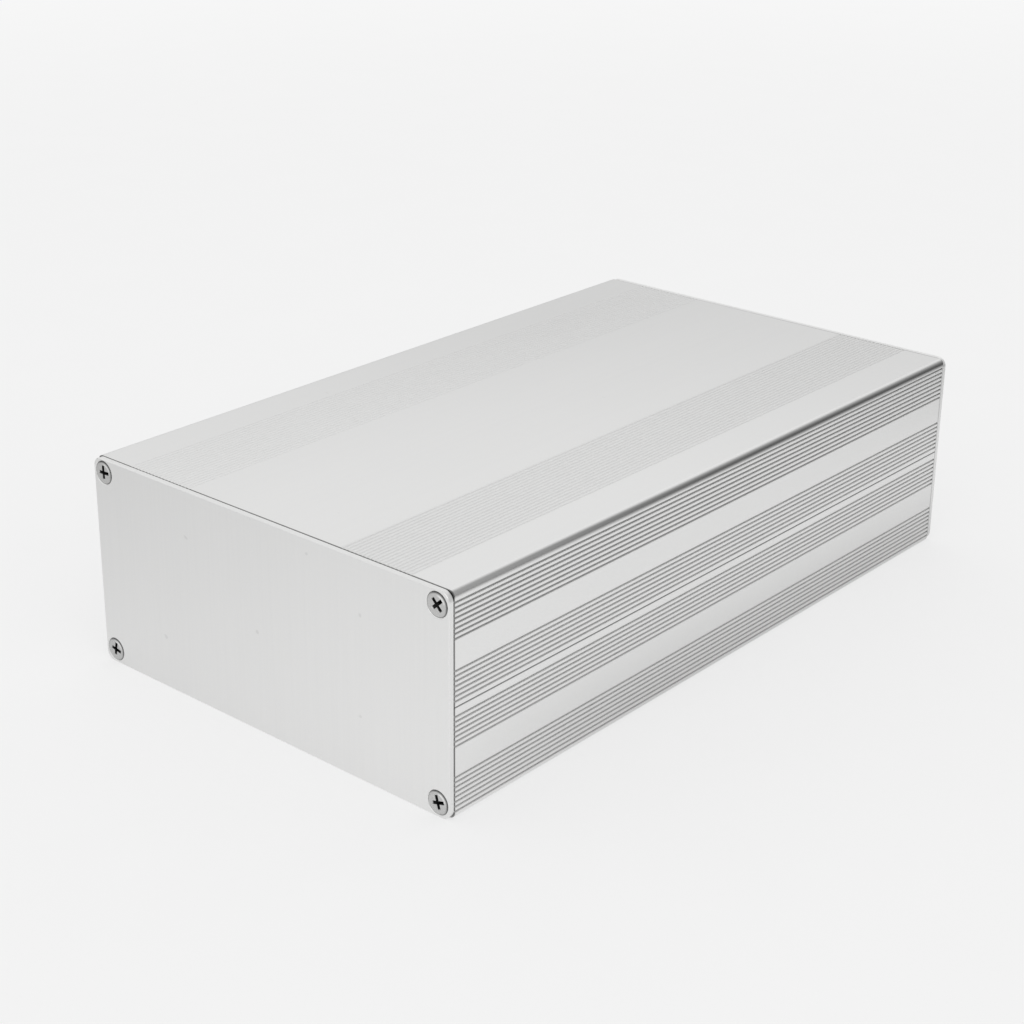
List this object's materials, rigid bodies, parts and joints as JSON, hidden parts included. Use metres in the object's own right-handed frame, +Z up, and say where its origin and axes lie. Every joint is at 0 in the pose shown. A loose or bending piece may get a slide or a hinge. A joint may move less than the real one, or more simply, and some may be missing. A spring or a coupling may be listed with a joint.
{
  "type": "electronics enclosure",
  "caption": "Closed extruded aluminium project box: two half shells with a tongue joint and board rails, and flat end plates held by countersunk cross-recess screws.",
  "frame": {"origin": "centre of the base on the resting surface", "axes": "+X across the end plates, to the right seen from the front plate; +Y from the front plate to the rear plate; +Z up"},
  "size_m": [0.145, 0.254, 0.068],
  "materials": {
    "shell": "bead-blasted and clear anodised, silver, matt",
    "end_plate": "fine brushed and clear anodised, silver, matt",
    "screw": "nickel plated, satin"
  },
  "bodies": {
    "root": {"upper_shell": "shell", "lower_shell": "shell", "front_end_plate": "end_plate", "rear_end_plate": "end_plate", "front_screw_top_left": "screw", "front_screw_top_right": "screw", "front_screw_bottom_left": "screw", "front_screw_bottom_right": "screw", "rear_screw_top_left": "screw", "rear_screw_top_right": "screw", "rear_screw_bottom_left": "screw", "rear_screw_bottom_right": "screw"}
  },
  "joints": []
}
